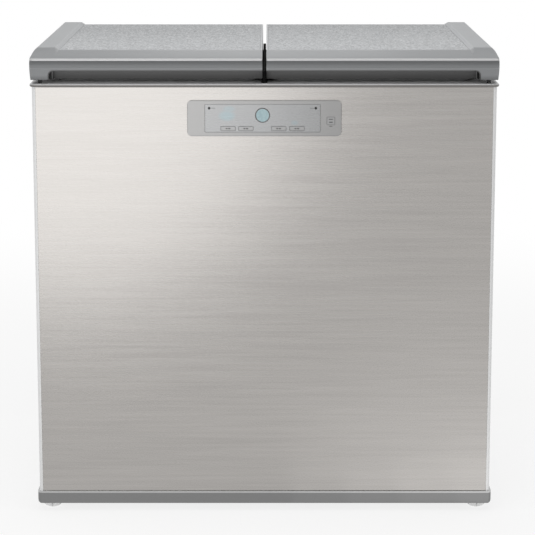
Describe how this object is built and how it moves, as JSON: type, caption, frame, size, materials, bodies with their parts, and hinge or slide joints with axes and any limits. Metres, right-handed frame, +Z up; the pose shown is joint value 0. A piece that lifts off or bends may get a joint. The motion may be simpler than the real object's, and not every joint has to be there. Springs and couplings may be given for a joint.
{
  "type": "kimchi refrigerator",
  "caption": "Chest-type kimchi refrigerator: brushed front, two sprung top lids over drawn tubs, key panel, machine room with fan and compressor, levelling feet and rear rollers.",
  "frame": {"origin": "middle of the cabinet's bounding box in plan, on the floor under the feet", "axes": "+Z up, -Y towards the front with the control panel, +X to the right as seen from the front"},
  "size_m": [0.9264, 0.73, 0.94],
  "materials": {
    "brushed_steel": "warm grey brushed stainless sheet, hairlines running across",
    "case_paint": "silver grey coil-coated steel sheet, smooth satin",
    "back_paint": "grey pre-coated steel sheet, satin",
    "zinc_steel": "zinc-plated pressed steel",
    "trim_plastic": "grey moulded plastic, fine satin",
    "frame_plastic": "dark grey moulded plastic with a bright top face on the bead",
    "black_plastic": "black moulded plastic",
    "black_rubber": "black moulded rubber",
    "foam": null,
    "liner_aluminium": "drawn aluminium with a white coating",
    "copper": "drawn copper tube",
    "compressor_paint": "black stove-enamelled steel shell",
    "fin_aluminium": "thin aluminium fins and tube",
    "fan_plastic": "off-white moulded plastic",
    "motor_steel": "dark painted steel can",
    "circuit_board": "green glass-fibre board with parts",
    "bezel_plastic": "silver-painted moulded plastic",
    "window_plastic": "glossy silver window of the display",
    "key_plastic": "bright silver keycaps",
    "lit_key_plastic": "pale cyan translucent cap in a dark ring",
    "foot_plastic": "light grey moulded plastic",
    "lid_plastic": "metallic grey painted moulding, smooth satin",
    "deck_sheet": "silver grey laminated sheet with fine glitter",
    "lid_liner_plastic": "white vacuum-formed plastic",
    "gasket_rubber": "grey soft magnetic gasket",
    "grip_plastic": "dark grey moulded plastic"
  },
  "bodies": {
    "cabinet": {"side_panel_left": "case_paint", "side_panel_right": "case_paint", "front_panel": "brushed_steel", "back_panel": "back_paint", "bottom_plate": "zinc_steel", "base_trim": "trim_plastic", "base_rails": "zinc_steel", "foam_insulation": "foam", "liner_left": "liner_aluminium", "liner_right": "liner_aluminium", "evaporators": "copper", "sensor_covers": "fan_plastic", "top_frame": "frame_plastic", "mullion_cover": "black_plastic", "lid_bumpers": "black_rubber", "machine_partition": "zinc_steel", "machine_cover": "back_paint", "cord_gland": "black_plastic", "wall_spacers": "black_plastic", "screws": "zinc_steel", "compressor": "compressor_paint", "compressor_mounts": "black_rubber", "condenser": "fin_aluminium", "fan_shroud": "fan_plastic", "fan_motor": "motor_steel", "refrigerant_pipes": "copper", "control_box": "fan_plastic", "control_bezel": "bezel_plastic", "display_window": "window_plastic", "circuit_boards": "circuit_board", "foot_brackets": "zinc_steel", "roller_brackets": "zinc_steel", "hinge_brackets": "zinc_steel", "hinge_pins": "zinc_steel", "hinge_springs": "zinc_steel"},
    "fan": {"fan_blades": "fan_plastic"},
    "roller_left": {"roller_left": "black_plastic"},
    "roller_right": {"roller_right": "black_plastic"},
    "foot_left": {"foot_stud_left": "zinc_steel", "foot_pad_left": "foot_plastic"},
    "foot_right": {"foot_stud_right": "zinc_steel", "foot_pad_right": "foot_plastic"},
    "round_key": {"round_key": "lit_key_plastic"},
    "key_1": {"key_1": "key_plastic"},
    "key_2": {"key_2": "key_plastic"},
    "key_3": {"key_3": "key_plastic"},
    "key_4": {"key_4": "key_plastic"},
    "lock_key": {"lock_key": "key_plastic"},
    "lid_left": {"lid_cover_left": "lid_plastic", "deck_left": "deck_sheet", "lid_liner_left": "lid_liner_plastic", "lid_foam_left": "foam", "gasket_left": "gasket_rubber", "grip_left": "grip_plastic"},
    "lid_right": {"lid_cover_right": "lid_plastic", "deck_right": "deck_sheet", "lid_liner_right": "lid_liner_plastic", "lid_foam_right": "foam", "gasket_right": "gasket_rubber", "grip_right": "grip_plastic"}
  },
  "joints": [
    {"name": "lid_left_hinge", "type": "hinge", "parent": "cabinet", "child": "lid_left", "pos_m": [-0.231, 0.325, 0.9085], "axis": [-1, 0, 0], "range_deg": [0, 80], "stiffness_Nm_per_rad": 6, "springref_deg": 100.27},
    {"name": "lid_right_hinge", "type": "hinge", "parent": "cabinet", "child": "lid_right", "pos_m": [0.231, 0.325, 0.9085], "axis": [-1, 0, 0], "range_deg": [0, 80], "stiffness_Nm_per_rad": 6, "springref_deg": 100.27},
    {"name": "round_key_press", "type": "slide", "parent": "cabinet", "child": "round_key", "axis": [0, 1, 0], "range_m": [0, 0.0008], "stiffness_N_per_m": 700},
    {"name": "key_1_press", "type": "slide", "parent": "cabinet", "child": "key_1", "axis": [0, 1, 0], "range_m": [0, 0.0008], "stiffness_N_per_m": 600},
    {"name": "key_2_press", "type": "slide", "parent": "cabinet", "child": "key_2", "axis": [0, 1, 0], "range_m": [0, 0.0008], "stiffness_N_per_m": 600},
    {"name": "key_3_press", "type": "slide", "parent": "cabinet", "child": "key_3", "axis": [0, 1, 0], "range_m": [0, 0.0008], "stiffness_N_per_m": 600},
    {"name": "key_4_press", "type": "slide", "parent": "cabinet", "child": "key_4", "axis": [0, 1, 0], "range_m": [0, 0.0008], "stiffness_N_per_m": 600},
    {"name": "lock_key_press", "type": "slide", "parent": "cabinet", "child": "lock_key", "axis": [0, 1, 0], "range_m": [0, 0.0008], "stiffness_N_per_m": 600},
    {"name": "fan_spin", "type": "hinge", "parent": "cabinet", "child": "fan", "pos_m": [-0.038, 0.2, 0.16], "axis": [1, 0, 0], "continuous": true},
    {"name": "roller_left_spin", "type": "hinge", "parent": "cabinet", "child": "roller_left", "pos_m": [-0.435, 0.3, 0.017], "axis": [1, 0, 0], "continuous": true},
    {"name": "roller_right_spin", "type": "hinge", "parent": "cabinet", "child": "roller_right", "pos_m": [0.435, 0.3, 0.017], "axis": [1, 0, 0], "continuous": true},
    {"name": "foot_left_turn", "type": "hinge", "parent": "cabinet", "child": "foot_left", "pos_m": [-0.435, -0.323, 0], "axis": [0, 0, 1], "continuous": true},
    {"name": "foot_right_turn", "type": "hinge", "parent": "cabinet", "child": "foot_right", "pos_m": [0.435, -0.323, 0], "axis": [0, 0, 1], "continuous": true}
  ]
}
